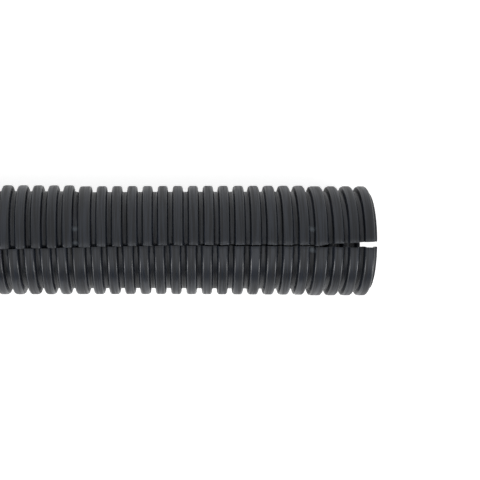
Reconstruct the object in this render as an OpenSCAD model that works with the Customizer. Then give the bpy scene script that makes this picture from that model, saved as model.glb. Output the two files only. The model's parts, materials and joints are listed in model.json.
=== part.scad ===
// Split corrugated conduit: one moulded plastic sleeve with ribs all round it,
// slit along its whole length so that cables are laid in from the side.

/* [Sleeve] */
// Length of the cut piece
sleeve_length = 500; // [100:1:600]
// Outside diameter over the rib crests
crest_d = 25.5; // [20:0.1:40]
// Thickness of the wall, the same in crests, sides and grooves
wall = 0.45; // [0.3:0.01:0.75]

/* [Ribs] */
// Distance from one rib to the next
rib_pitch = 3.555; // [2.95:0.005:6]
// Height of a rib above the floor of the groove
rib_height = 1.4; // [0.9:0.05:2.5]
// Width of a rib across its crest, its corners taken as sharp
crest_width = 2.2; // [1.2:0.01:2.8]
// Lean of a rib's sides away from upright, in degrees
draft = 6; // [0:1:8]
// Radius of the two outer corners of a crest
crest_radius = 0.45; // [0.1:0.05:0.6]
// Radius in the two corners of a groove
groove_radius = 0.15; // [0:0.05:0.4]

/* [Mould joints] */
// Ribs from one mould joint to the next, the wide rib at the joint among them
block_ribs = 15; // [4:1:40]
// Ribs between the front end and the first mould joint
front_ribs = 3; // [0:1:20]
// How much wider the rib at a mould joint is than the others
joint_extra = 0.57; // [0:0.01:1.5]

/* [Slit] */
// Width of the slit, from lip to lip
slit_width = 0.3; // [0.1:0.05:2]
// Width of the slit at the front end, where its lips are spread
mouth_width = 1.3; // [0.4:0.05:6]
// Length over which the lips come together behind the front end
mouth_length = 13; // [5:1:60]

/* [Hidden] */
crest_r = crest_d / 2;
groove_r = crest_r - rib_height;
slit_angle = 2 * asin(slit_width / crest_d);
// enough ribs to pass the far end, where the sleeve is cut off
rib_count = ceil(sleeve_length / rib_pitch);
// facets in a small corner, in a larger one, and from the tip of the mouth to each side of it
small_radius = 0.2;
small_steps = 1;
large_steps = 2;
mouth_steps = 6;

// points on an arc of the given radius about [x, y], turning from angle a to angle b;
// an arc without a radius is the corner itself
function arc(x, y, radius, a, b) =
    let (steps = radius <= 0 ? 0 : radius < small_radius ? small_steps : large_steps)
    [for (i = [0:steps]) let (t = a + (b - a) * i / max(steps, 1)) [x + radius * cos(t), y + radius * sin(t)]];

// one side of a rib as [radius, distance from the rib's middle], from the groove up to the crest;
// half is half the rib's width at the top, its corners taken as sharp
function rib_side(top_r, bottom_r, half, top_fillet, bottom_fillet) =
    let (reach = tan((90 - draft) / 2), foot = half + (top_r - bottom_r) * tan(draft))
    concat(
        arc(bottom_r + bottom_fillet, -foot - bottom_fillet * reach, bottom_fillet, 180, 90 + draft),
        arc(top_r - top_fillet, -half + top_fillet * reach, top_fillet, draft - 90, 0));

// a whole rib: one side, then the same side mirrored and taken backwards
function rib(top_r, bottom_r, half, top_fillet, bottom_fillet, middle) =
    let (side = rib_side(top_r, bottom_r, half, top_fillet, bottom_fillet), last = len(side) - 1)
    concat(
        [for (p = side) [p[0], middle + p[1]]],
        [for (i = [0:last]) [side[last - i][0], middle - side[last - i][1]]]);

// mould joints passed before rib i, and how much wider than the others rib i is
function joints_before(i) = max(0, ceil((i - front_ribs) / block_ribs));
function extra(i) = joints_before(i + 1) > joints_before(i) ? joint_extra : 0;

// the middle of the groove in front of rib i, and the middle of rib i
function groove_at(i) = i * rib_pitch + joints_before(i) * joint_extra;
function middle_of(i) = groove_at(i) + (rib_pitch + extra(i)) / 2;

// the outer skin from the front end backwards, and the inner skin one wall thickness inside it
function outer_skin() =
    [for (i = [0:rib_count - 1])
        each rib(crest_r, groove_r, (crest_width + extra(i)) / 2, crest_radius, groove_radius, middle_of(i))];
function inner_skin() =
    [for (i = [0:rib_count - 1])
        each rib(crest_r - wall, groove_r - wall,
                 (crest_width + extra(i)) / 2 + wall * tan(draft) - wall / cos(draft),
                 max(0, crest_radius - wall), groove_radius + wall, middle_of(i))];

// a skin up to the far end, where it stops at the radius that it has there
function cut_off(skin) =
    concat([for (p = skin) if (p[1] < sleeve_length) p],
           [[lookup(sleeve_length, [for (p = skin) [p[1], p[0]]]), sleeve_length]]);

// the wall in section, with the radius along X and the length along Y, cut square at both ends
module wall_section() {
    outer = cut_off(outer_skin());
    inner = cut_off(inner_skin());
    polygon(concat(
        [[groove_r - wall, 0], [groove_r, 0]], outer, [for (i = [1:len(inner)]) inner[len(inner) - i]]));
}

// the sleeve round the Z axis, open at the slit, which faces -X
module slit_sleeve()
    rotate_extrude(angle = 360 - slit_angle, start = 180 + slit_angle / 2, $fn = 96) wall_section();

// what the spread lips leave open, seen from above: half an ellipse, with its tip where they meet
module mouth_outline()
    polygon([
        [-mouth_width, -mouth_width / 2],
        for (i = [-mouth_steps:mouth_steps])
            let (t = 90 * i / mouth_steps) [mouth_length * cos(t), mouth_width / 2 * sin(t)],
        [-mouth_width, mouth_width / 2]]);

// lying on its back along X, front end at +X, with the slit on top
module conduit() {
    color("#2a2b2d")
        translate([sleeve_length / 2, 0, crest_r])
            mirror([1, 0, 0])
                difference() {
                    rotate([0, 90, 0]) slit_sleeve();
                    linear_extrude(crest_d) mouth_outline();
                }
}

conduit();
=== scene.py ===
import json
import math

import bpy
import numpy as np
from mathutils import Matrix, Vector


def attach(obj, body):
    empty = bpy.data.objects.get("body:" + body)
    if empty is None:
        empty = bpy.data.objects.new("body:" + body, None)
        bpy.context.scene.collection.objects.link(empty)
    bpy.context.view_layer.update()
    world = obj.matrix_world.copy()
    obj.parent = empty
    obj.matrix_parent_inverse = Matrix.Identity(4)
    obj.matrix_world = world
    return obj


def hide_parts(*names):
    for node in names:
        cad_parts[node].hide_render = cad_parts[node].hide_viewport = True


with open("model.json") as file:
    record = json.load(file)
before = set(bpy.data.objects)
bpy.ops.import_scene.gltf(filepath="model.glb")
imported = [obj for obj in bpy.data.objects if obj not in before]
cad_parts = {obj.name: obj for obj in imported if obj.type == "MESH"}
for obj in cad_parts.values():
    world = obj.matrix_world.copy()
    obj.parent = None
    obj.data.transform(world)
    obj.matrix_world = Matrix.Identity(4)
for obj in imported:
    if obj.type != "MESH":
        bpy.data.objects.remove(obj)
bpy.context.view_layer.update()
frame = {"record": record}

MM = 0.001

# The sleeve's own sizes in millimetres. Length, crest and bore come from the frame.
MOUNTS = {mount["name"]: mount["dims"] for mount in frame["record"]["mounts"]}
LENGTH = MOUNTS["cable_bore"]["length_mm"]
CREST_R = MOUNTS["rib_crests"]["r_mm"]
BORE_R = MOUNTS["cable_bore"]["r_mm"]
WALL = 0.45
GROOVE_R = BORE_R + WALL
RIB_PITCH = 3.555
CREST_WIDTH = 2.2
DRAFT = math.radians(6)
CREST_FILLET = 0.55
CREST_FILLET_INSIDE = 0.08
GROOVE_FILLET = 0.15

# A mould block forms fifteen ribs, and the one at each joint comes out wider. The length has ten joints.
# Mould halves that don't quite meet leave a step on the +Y side: in before the joint, out behind it, and
# fading along the sleeve. The front block also stands a little to the near side of the next one.
FRONT_RIBS = 3
BLOCK_RIBS = 15
JOINT_EXTRA = 0.57
JOINTS = 10
STEP_BEFORE = -0.21
STEP_BEHIND = 0.06
STEP_FADE = 8.0
BLOCK_SHIFT = -0.15
SHIFT_REACH = 0.6

# The slit: its gap where the lips stand apart, its gap where they touch, and where the first turns into
# the second. Its edges wander as two waves, each a height in mm, radians to the mm and a phase.
SLIT_GAP = 0.3
TOUCHING_GAP = 0.05
SLIT_CLOSES = (35, 46)
EDGE_WAVES = [(0.035, 0.83, 0), (0.03, 2.1, 1)]

# Its mouth at the front end: how far each lip opens there, and how much wider the spread sleeve is.
UPPER_LIP_OPENS = 0.9
LOWER_LIP_OPENS = 0.1
MOUTH_LENGTH = 13.0
MOUTH_FLARE = 0.22
FLARE_LENGTH = 58.0

# How deep each lip curls in, and over what width of it.
UPPER_CURL = (0.2, 1.1)
LOWER_CURL = (0.08, 0.7)

# The slit turns to the near side between 40 and 100 mm, and a little past the top again by 300 mm.
DRIFT = math.radians(5)
DRIFT_GROWS = (40, 100)
DRIFT_TURNS = (120, 300)
DRIFT_BACK = 1.4

# Rings lean: the front ones forward at the slit, the next ones back. Each has its reach and where it
# fades in or out.
FRONT_LEAN = 0.5
FRONT_LEAN_ENDS = (6, 30)
BACK_LEAN = 0.23
BACK_LEAN_GROWS = (22, 34)
BACK_LEAN_ENDS = (45, 62)

# Behind the mouth the lips slip against each other: by how much, from where, over what length, at most
# how many times that much, and from where on they come back together. A third of it is a cubic.
SLIP = 0.92
SLIP_STARTS = 22
SLIP_LENGTH = 64
SLIP_MOST = 1.15
SLIP_ENDS = 200
SLIP_CUBIC = 0.33

# Nibs left by the blocks' vents: the joint, and how far round from the upper lip.
NIBS = [(0, 4.0), (0, -1.0), (1, 0.8), (1, 4.5), (2, 4.2), (4, -3.0)]

# The fine rows cover the front of the sleeve, and no row lies closer than the last gap to the far end.
# A rib's fillets take so many steps at its foot and at its crest, first outside and then inside.
# The columns go from lip to lip and close up towards both.
DETAIL_LENGTH = 86.0
FINE_STEPS = ((1, 3), (3, 1))
COARSE_STEPS = ((0, 1), (1, 0))
LAST_GAP = 0.05
COLUMNS = 49
CLOSING_UP = 0.85
GIRTH = 2 * math.pi * CREST_R

# Where the skin turns by more than this, as at lips and cut ends, it is shaded as a sharp edge.
SHARP_TURN = math.radians(50)


def linear(code):
    """A colour written as sRGB hex, turned into the linear values that shaders take."""
    srgb = np.array([int(code[i:i + 2], 16) for i in (1, 3, 5)]) / 255
    value = np.where(srgb <= 0.04045, srgb / 12.92, ((srgb + 0.055) / 1.055) ** 2.4)
    return (*value.tolist(), 1.0)


def add(tree, kind, settings=None, links=None):
    """Adds one node: settings are its properties or its sockets' values, and links feed its sockets, each
    from another socket or from a node's first output."""
    node = tree.nodes.new(kind)
    for name, value in (settings or {}).items():
        if isinstance(name, str) and hasattr(node, name):
            setattr(node, name, value)
        else:
            node.inputs[name].default_value = value
    for name, source in (links or {}).items():
        if isinstance(source, bpy.types.Node):
            source = source.outputs[0]
        tree.links.new(source, node.inputs[name])
    return node


def smooth(x, start, end):
    """A ramp from 0 at start to 1 at end, level at both: 3t^2 - 2t^3."""
    t = np.clip((x - start) / (end - start), 0, 1)
    return t * t * (3 - 2 * t)


def arc(radius, along, fillet, start, end, steps):
    """Points at equal angles on a circle of radius fillet round the centre (radius, along)."""
    angle = np.radians(np.linspace(start, end, steps + 1))
    return np.stack([radius + fillet * np.cos(angle), along + fillet * np.sin(angle)])


def rib_outline(top, bottom, half, top_fillet, bottom_fillet, steps):
    """A rib in section: two leaning sides, each with a fillet at its foot and one at the crest.
    Each side is a straight line tangent to both arcs, and the second is the first one mirrored."""
    lean = math.degrees(DRAFT)
    reach = math.tan(math.radians(45) - DRAFT / 2)
    foot = half + (top - bottom) * math.tan(DRAFT)
    low, high = steps
    side = np.concatenate([
        arc(bottom + bottom_fillet, -foot - bottom_fillet * reach, bottom_fillet, 180, 90 + lean, low),
        arc(top - top_fillet, -half + top_fillet * reach, top_fillet, lean - 90, 0, high),
    ], axis=1)
    return np.concatenate([side, side[:, ::-1] * [[1], [-1]]], axis=1)


def skins():
    """The outer and inner skin in section as (radius, distance from the front end), rib after rib.
    Both have as many points, so that point i of one stands across the wall from point i of the other.
    The inner rib is the outer one moved in by the wall, square to its leaning sides."""
    outer, inner = [], []
    rib = 0
    groove = 0.0
    while groove < LENGTH:
        at_joint = rib >= FRONT_RIBS and (rib - FRONT_RIBS) % BLOCK_RIBS == 0
        extra = JOINT_EXTRA if at_joint else 0.0
        fine = groove < DETAIL_LENGTH
        crest_inside, groove_outside = (CREST_FILLET_INSIDE, GROOVE_FILLET) if fine else (0, 0)
        steps, steps_inside = FINE_STEPS if fine else COARSE_STEPS
        half = (CREST_WIDTH + extra) / 2
        half_inside = half + WALL * math.tan(DRAFT) - WALL / math.cos(DRAFT)
        middle = [[0], [groove + (RIB_PITCH + extra) / 2]]
        outer.append(middle + rib_outline(CREST_R, GROOVE_R, half, CREST_FILLET, groove_outside, steps))
        inner.append(middle + rib_outline(CREST_R - WALL, BORE_R, half_inside, crest_inside,
                                          groove_outside + WALL, steps_inside))
        groove += RIB_PITCH + extra
        rib += 1
    outer, inner = np.concatenate(outer, axis=1), np.concatenate(inner, axis=1)
    kept = np.maximum(outer[1], inner[1]) < LENGTH - LAST_GAP
    ends = [np.array([[radius, radius], [0, LENGTH]]) for radius in (GROOVE_R, BORE_R)]
    return [np.concatenate([end[:, :1], skin[:, kept], end[:, 1:]], axis=1)
            for end, skin in zip(ends, (outer, inner))]


def joint_place(joint):
    """How far behind the front end a mould joint is: the groove just behind its wide rib."""
    ribs = FRONT_RIBS + joint * BLOCK_RIBS + 1
    return ribs * RIB_PITCH + (joint + 1) * JOINT_EXTRA


def flare(along):
    """How much wider the sleeve is, in millimetres of radius: its spread lips open up the front end."""
    return MOUTH_FLARE * (1 - smooth(along, 0, FLARE_LENGTH))


def step_at_joints(along, angle):
    """How far the wall stands out at each joint behind the first. On the +Y side it goes by the sine of
    the angle, and it dies away to 1/e in the fade's length."""
    step = 0.0
    for joint in range(1, JOINTS):
        behind = along - joint_place(joint)
        step = step + np.where(behind < 0, STEP_BEFORE, STEP_BEHIND) * np.exp(-np.abs(behind) / STEP_FADE)
    return step * np.maximum(np.sin(angle), 0)


def curl(off_lip, depth, width):
    """How far a lip curls in, as a parabola that is deepest at its edge and level at its width."""
    return depth * np.clip(1 - off_lip / width, 0, 1) ** 2


def sleeve_grid():
    """The sleeve as a grid of layer, row along the length and column round from lip to lip.
    Columns close up towards the lips: their place is t - 0.85 sin(2 pi t) / 2 pi.
    A point is turned round the axis by its angle and pushed along by the slip and lean of its ring.
    With each point goes its place on the sheet: how far along, how far round and how far out."""
    radius, along = np.stack(skins()).transpose(1, 0, 2)[..., None]
    t = np.linspace(0, 1, COLUMNS)
    t = t - CLOSING_UP * np.sin(2 * np.pi * t) / (2 * np.pi)

    # the mouth opens as the root of the distance from where it starts
    wander = sum(height * np.sin(turn * along + phase) for height, turn, phase in EDGE_WAVES)
    gap = TOUCHING_GAP + (SLIT_GAP - TOUCHING_GAP) * (1 - smooth(along, *SLIT_CLOSES))
    mouth = np.sqrt(np.clip(1 - along / MOUTH_LENGTH, 0, 1))
    upper_edge = (gap / 2 + UPPER_LIP_OPENS * mouth + wander) / CREST_R
    lower_edge = (gap / 2 + LOWER_LIP_OPENS * mouth - wander) / CREST_R
    drift = DRIFT * smooth(along, *DRIFT_GROWS) * (1 - DRIFT_BACK * smooth(along, *DRIFT_TURNS))
    angle = upper_edge + t * (2 * np.pi - upper_edge - lower_edge) - drift

    wider = flare(along)
    curled = curl(t * GIRTH, *UPPER_CURL) + curl((1 - t) * GIRTH, *LOWER_CURL)
    reach = radius + wider + step_at_joints(along, angle) - curled

    lean = (FRONT_LEAN * (1 - smooth(along, *FRONT_LEAN_ENDS))
            - BACK_LEAN * smooth(along, *BACK_LEAN_GROWS) * (1 - smooth(along, *BACK_LEAN_ENDS)))
    slip = SLIP * np.clip((along - SLIP_STARTS) / SLIP_LENGTH, 0, SLIP_MOST)
    slip = slip * (1 - smooth(along, SLIP_ENDS, LENGTH))
    across = 1 - 2 * t
    slipped = slip * ((1 - SLIP_CUBIC) * across + SLIP_CUBIC * across ** 3)
    first_joint = joint_place(0)
    shift = BLOCK_SHIFT * (1 - smooth(along, first_joint - SHIFT_REACH, first_joint + SHIFT_REACH))
    x = LENGTH / 2 - along + slipped + lean * np.maximum(np.cos(angle), 0)
    y = shift + reach * np.sin(angle)
    z = CREST_R + wider + reach * np.cos(angle)
    place = np.stack(np.broadcast_arrays(x, y, z), axis=-1)
    sheet = np.stack(np.broadcast_arrays(along, t * GIRTH, radius), axis=-1)
    return place, sheet


def ring_faces(index):
    """Quads over a grid of vertex numbers, from each point to its three neighbours ahead."""
    corners = [index[:-1, :-1], index[:-1, 1:], index[1:, 1:], index[1:, :-1]]
    return np.stack(corners, axis=-1).reshape(-1, 4)


def sleeve():
    """The whole sleeve as one closed skin: outside, inside, two lips and two cut ends."""
    place, sheet = sleeve_grid()
    rows, columns = place.shape[1:3]
    index = np.arange(2 * rows * columns).reshape(2, rows, columns)
    outer, inner = index
    faces = np.concatenate([
        ring_faces(outer),
        ring_faces(inner[:, ::-1]),
        ring_faces(np.stack([inner[:, 0], outer[:, 0]], axis=1)),
        ring_faces(np.stack([outer[:, -1], inner[:, -1]], axis=1)),
        ring_faces(np.stack([inner[0], outer[0]])),
        ring_faces(np.stack([outer[-1], inner[-1]])),
    ])
    mesh = bpy.data.meshes.new("sleeve")
    mesh.vertices.add(place.size // 3)
    mesh.vertices.foreach_set("co", (place * MM).reshape(-1))
    mesh.loops.add(faces.size)
    mesh.loops.foreach_set("vertex_index", faces.reshape(-1))
    mesh.polygons.add(len(faces))
    mesh.polygons.foreach_set("loop_start", np.arange(len(faces)) * 4)
    mesh.update(calc_edges=True)
    mesh.validate()
    mesh.polygons.foreach_set("use_smooth", np.ones(len(faces), bool))
    mesh.set_sharp_from_angle(angle=SHARP_TURN)
    grain = mesh.attributes.new("sleeve_place", "FLOAT_VECTOR", "POINT")
    grain.data.foreach_set("vector", sheet.reshape(-1))
    piece = bpy.data.objects.new("sleeve", mesh)
    bpy.context.scene.collection.objects.link(piece)
    even = piece.modifiers.new("even_shading", "WEIGHTED_NORMAL")
    even.keep_sharp = True
    return piece


def spot(tree, along, across, centre, reach):
    """1 within three tenths of the reach from a centre, which is given by its distance along and across,
    and 0 from the reach outwards."""
    off_along = add(tree, "ShaderNodeMath", {"operation": "SUBTRACT", 1: centre[0]}, {0: along})
    off_across = add(tree, "ShaderNodeMath", {"operation": "SUBTRACT", 1: centre[1]}, {0: across})
    off = add(tree, "ShaderNodeCombineXYZ", None, {"X": off_along, "Y": off_across})
    far = add(tree, "ShaderNodeVectorMath", {"operation": "LENGTH"}, {0: off}).outputs["Value"]
    return add(tree, "ShaderNodeMapRange", {1: 0.3 * reach, 2: reach, 3: 1.0, 4: 0.0}, {0: far})


def moulded_polypropylene():
    """Black polypropylene, drawn out hot and pressed into the steel blocks of a corrugator. That gives the
    eye a satin skin, cloudy with flow marks, fine drag lines round the ribs, crest corners a little paler,
    partly rubbed and partly a painted highlight, the upper lip whitened where the knife parted it and
    painted with a highlight along its curled edge, and a pale nib beside a mould joint.
    A colour mix takes its colours at sockets 6 and 7 and gives its result at output 2, and a map range
    takes what lies between its sockets 1 and 2 to what lies between 3 and 4."""
    material = bpy.data.materials.new("moulded_polypropylene")
    material.use_nodes = True
    tree = material.node_tree
    shader = tree.nodes["Principled BSDF"]
    shader.inputs["IOR"].default_value = 1.49

    # along the sleeve, round it from the upper lip, and out from its axis, all in millimetres
    sheet = add(tree, "ShaderNodeAttribute", {"attribute_name": "sleeve_place"}).outputs["Vector"]
    along, across, out = add(tree, "ShaderNodeSeparateXYZ", None, {0: sheet}).outputs

    # flow marks: clouds 4 mm wide, drawn out to 9 mm round the sleeve
    cloud_place = add(tree, "ShaderNodeVectorMath", {"operation": "MULTIPLY", 1: (1 / 4, 1 / 9, 1 / 4)},
                      {0: sheet})
    clouds = add(tree, "ShaderNodeTexNoise", {"Scale": 1.0, "Detail": 3.0}, {"Vector": cloud_place})

    # drag lines: some 12 mm long round the sleeve. Real ones lie about 0.1 mm apart, which is too fine to
    # show, so they are drawn 0.4 mm apart.
    line_place = add(tree, "ShaderNodeVectorMath", {"operation": "MULTIPLY", 1: (1 / 0.4, 1 / 12, 1 / 3)},
                     {0: sheet})
    lines = add(tree, "ShaderNodeTexNoise", {"Scale": 1.0, "Detail": 2.0}, {"Vector": line_place})

    # grit of the blasted blocks, drawn as 0.35 mm grains so that it shows
    grit = add(tree, "ShaderNodeTexNoise", {"Scale": 1 / 0.35, "Detail": 2.0}, {"Vector": sheet})

    # the black skin, clouded, and paler along the drag lines
    skin = add(tree, "ShaderNodeMix", {"data_type": "RGBA", 6: linear("#07090e"), 7: linear("#0e1219")},
               {0: clouds})
    streak = add(tree, "ShaderNodeMapRange", {1: 0.4, 2: 0.62, 3: 0.0, 4: 0.85}, {0: lines})
    skin = add(tree, "ShaderNodeMix", {"data_type": "RGBA", 7: linear("#242932")},
               {0: streak, 6: skin.outputs[2]})

    # crest corners rubbed paler and painted with a highlight: a band 0.16 mm below the crest, where it
    # rounds off, most where the grit stands out
    below = add(tree, "ShaderNodeMath", {"operation": "SUBTRACT", 0: CREST_R - 0.16}, {1: out})
    off_corner = add(tree, "ShaderNodeMath", {"operation": "ABSOLUTE"}, {0: below})
    corner = add(tree, "ShaderNodeMapRange", {1: 0.08, 2: 0.16, 3: 1.0, 4: 0.0}, {0: off_corner})
    rubbed_and_highlight = add(tree, "ShaderNodeMath", {"operation": "MULTIPLY"}, {0: corner, 1: grit})
    skin = add(tree, "ShaderNodeMix", {"data_type": "RGBA", 7: linear("#2b2e34")},
               {0: rubbed_and_highlight, 6: skin.outputs[2]})

    # upper lip whitened by the knife and painted with a highlight along its curled edge: a ragged pale line
    # that fades between 0.4 and 0.75 mm from the slit
    near_lip = add(tree, "ShaderNodeMapRange", {1: 0.4, 2: 0.75, 3: 1.0, 4: 0.0}, {0: across})
    ragged = add(tree, "ShaderNodeMapRange", {1: 0.5, 2: 0.68}, {0: grit})
    torn_lip_and_highlight = add(tree, "ShaderNodeMath", {"operation": "MULTIPLY"}, {0: near_lip, 1: ragged})
    skin = add(tree, "ShaderNodeMix", {"data_type": "RGBA", 7: linear("#3f4349")},
               {0: torn_lip_and_highlight, 6: skin.outputs[2]})

    # nibs beside the mould joints, 1.7 mm across
    nibs = None
    for joint, across_at in NIBS:
        nib = spot(tree, along, across, (joint_place(joint), across_at % GIRTH), 0.85)
        nibs = add(tree, "ShaderNodeMath", {"operation": "MAXIMUM"}, {0: nibs, 1: nib}) if nibs else nib
    skin = add(tree, "ShaderNodeMix", {"data_type": "RGBA", 7: linear("#50575e")},
               {0: nibs, 6: skin.outputs[2]})
    tree.links.new(skin.outputs[2], shader.inputs["Base Color"])

    # roughness: duller in the clouds and along the knife-cut upper lip, glossier on the crest corners and
    # drag lines
    rough = add(tree, "ShaderNodeMapRange", {1: 0.3, 2: 0.7, 3: 0.34, 4: 0.46}, {0: clouds})
    rough = add(tree, "ShaderNodeMath", {"operation": "MULTIPLY_ADD", 1: 0.25}, {0: torn_lip_and_highlight, 2: rough})
    rough = add(tree, "ShaderNodeMath", {"operation": "MULTIPLY_ADD", 1: -0.2}, {0: corner, 2: rough})
    polish = add(tree, "ShaderNodeMapRange", {1: 0.4, 2: 0.6, 3: 0.08, 4: -0.08}, {0: lines})
    rough = add(tree, "ShaderNodeMath", {"operation": "ADD"}, {0: polish, 1: rough})
    tree.links.new(rough.outputs[0], shader.inputs["Roughness"])

    # relief, in steps of 0.03 mm: three of them for a drag line, a third for grit and one for a nib
    relief = add(tree, "ShaderNodeMath", {"operation": "MULTIPLY", 1: 3.0}, {0: lines})
    relief = add(tree, "ShaderNodeMath", {"operation": "MULTIPLY_ADD", 1: 0.35}, {0: grit, 2: relief})
    relief = add(tree, "ShaderNodeMath", {"operation": "ADD"}, {0: relief, 1: nibs})
    bump = add(tree, "ShaderNodeBump", {"Strength": 0.6, "Distance": 0.03 * MM}, {"Height": relief})
    tree.links.new(bump.outputs[0], shader.inputs["Normal"])
    return material


def white_paper():
    """White seamless paper. To the camera it is the white of the studio, but for the sleeve's soft shadow,
    and the gloss on the sleeve sees it a little brighter than its own colour. The glow is 0.6 for the
    camera, which brings lit paper to white, and 0.19 for gloss."""
    material = bpy.data.materials.new("white_paper")
    material.use_nodes = True
    tree = material.node_tree
    tree.nodes.clear()
    path = add(tree, "ShaderNodeLightPath").outputs
    seen = add(tree, "ShaderNodeMath", {"operation": "MAXIMUM"},
               {0: path["Is Camera Ray"], 1: path["Is Transmission Ray"]})
    glow = add(tree, "ShaderNodeMath", {"operation": "MULTIPLY", 1: 0.19}, {0: path["Is Glossy Ray"]})
    glow = add(tree, "ShaderNodeMath", {"operation": "MULTIPLY_ADD", 1: 0.6}, {0: seen, 2: glow})
    paper = add(tree, "ShaderNodeBsdfDiffuse", {"Color": linear("#f4f4f4")})
    white = add(tree, "ShaderNodeEmission", {"Color": (1, 1, 1, 1)}, {"Strength": glow})
    both = add(tree, "ShaderNodeAddShader", None, {0: paper, 1: white})
    add(tree, "ShaderNodeOutputMaterial", None, {"Surface": both})
    return material


def floor():
    """A level square of paper under the sleeve, 6 m each way."""
    half = 3.0
    mesh = bpy.data.meshes.new("floor")
    corners = [(x * half, y * half, 0.0) for x, y in ((-1, -1), (1, -1), (1, 1), (-1, 1))]
    mesh.from_pydata(corners, [], [(0, 1, 2, 3)])
    mesh.materials.append(white_paper())
    piece = bpy.data.objects.new("floor", mesh)
    bpy.context.scene.collection.objects.link(piece)


def look_from(place, target, right):
    """A frame at place that looks at target, its side as near to right as that allows."""
    back = (place - target).normalized()
    side = (right - back * right.dot(back)).normalized()
    turn = Matrix((side, back.cross(side), back)).transposed()
    return Matrix.Translation(place) @ turn.to_4x4()


def camera():
    """A portrait lens 297 mm above the axis of the sleeve's front, leaning a little over its +Y side and
    turned a little towards the front end."""
    distance = 0.297
    lean = math.radians(5.7)
    axis_z = CREST_R * MM
    foot = Vector((0.2022, 0.0, axis_z))
    target = Vector((0.2198, 0.0, axis_z))
    right = Vector((1, 0.0013, 0))
    place = foot + distance * Vector((0, math.sin(lean), math.cos(lean)))
    data = bpy.data.cameras.new("camera")
    data.sensor_width = 36.0
    data.lens = 94.5
    piece = bpy.data.objects.new("camera", data)
    bpy.context.scene.collection.objects.link(piece)
    piece.matrix_world = look_from(place, target, right)
    bpy.context.scene.camera = piece


def softbox(name, direction, distance, size, brightness):
    """A flat lamp that faces the front of the sleeve from the given direction. Its power is its brightness,
    in which white paper beside it is 1, times pi and its area."""
    target = Vector((0.2, 0.0, CREST_R * MM))
    place = target + Vector(direction).normalized() * distance
    data = bpy.data.lights.new(name, "AREA")
    data.shape = "RECTANGLE"
    data.size, data.size_y = size
    data.energy = brightness * math.pi * size[0] * size[1]
    piece = bpy.data.objects.new(name, data)
    bpy.context.scene.collection.objects.link(piece)
    piece.matrix_world = look_from(place, target, Vector((1, 0, 0)))


def white_room(shown, level, dark_end, far_end):
    """A pale room as the world, at the given level, and brighter by up to far_end towards +Y. Low on the
    near side is a dark doorway, some 18 degrees round its middle at dark_end, and gone 44 degrees off.
    The camera and clear things see the room as white as shown says."""
    world = bpy.data.worlds.new("white_room")
    bpy.context.scene.world = world
    world.use_nodes = True
    tree = world.node_tree
    tree.nodes.clear()
    path = add(tree, "ShaderNodeLightPath").outputs
    seen = add(tree, "ShaderNodeMath", {"operation": "MAXIMUM"},
               {0: path["Is Camera Ray"], 1: path["Is Transmission Ray"]})
    toward = add(tree, "ShaderNodeTexCoord").outputs["Generated"]
    toward_y = add(tree, "ShaderNodeSeparateXYZ", None, {0: toward}).outputs["Y"]
    doorway = add(tree, "ShaderNodeVectorMath", {"operation": "DOT_PRODUCT", 1: (0.0, -1.0, 0.05)},
                  {0: toward}).outputs["Value"]
    dark = add(tree, "ShaderNodeMapRange",
               {"interpolation_type": "SMOOTHSTEP", 1: 0.72, 2: 0.95, 3: level, 4: dark_end}, {0: doorway})
    bright = add(tree, "ShaderNodeMapRange",
                 {"interpolation_type": "SMOOTHSTEP", 1: 0.0, 2: 0.9, 3: 0.0, 4: far_end}, {0: toward_y})
    both = add(tree, "ShaderNodeMath", {"operation": "ADD"}, {0: dark, 1: bright})
    strength = add(tree, "ShaderNodeMapRange", {4: shown}, {0: seen, 3: both})
    room = add(tree, "ShaderNodeBackground", {"Color": (1, 1, 1, 1)}, {"Strength": strength})
    add(tree, "ShaderNodeOutputWorld", None, {"Surface": room})


def studio():
    """A broad panel overhead on the near side, a softbox low at each end of it, and a pale room."""
    softbox("overhead_panel", (0.0, -0.516, 0.857), 0.9, (1.05, 0.89), 0.68)
    softbox("left_softbox", (-0.70, -0.62, 0.26), 1.0, (0.4, 0.4), 5.0)
    softbox("right_softbox", (0.70, -0.62, 0.26), 1.0, (0.4, 0.4), 4.2)
    white_room(shown=1.0, level=0.6, dark_end=0.0, far_end=0.31)


bpy.context.scene.view_settings.view_transform = "Standard"
camera()
studio()
floor()

conduit = sleeve()
conduit.data.materials.append(moulded_polypropylene())
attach(conduit, "root")
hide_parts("conduit")
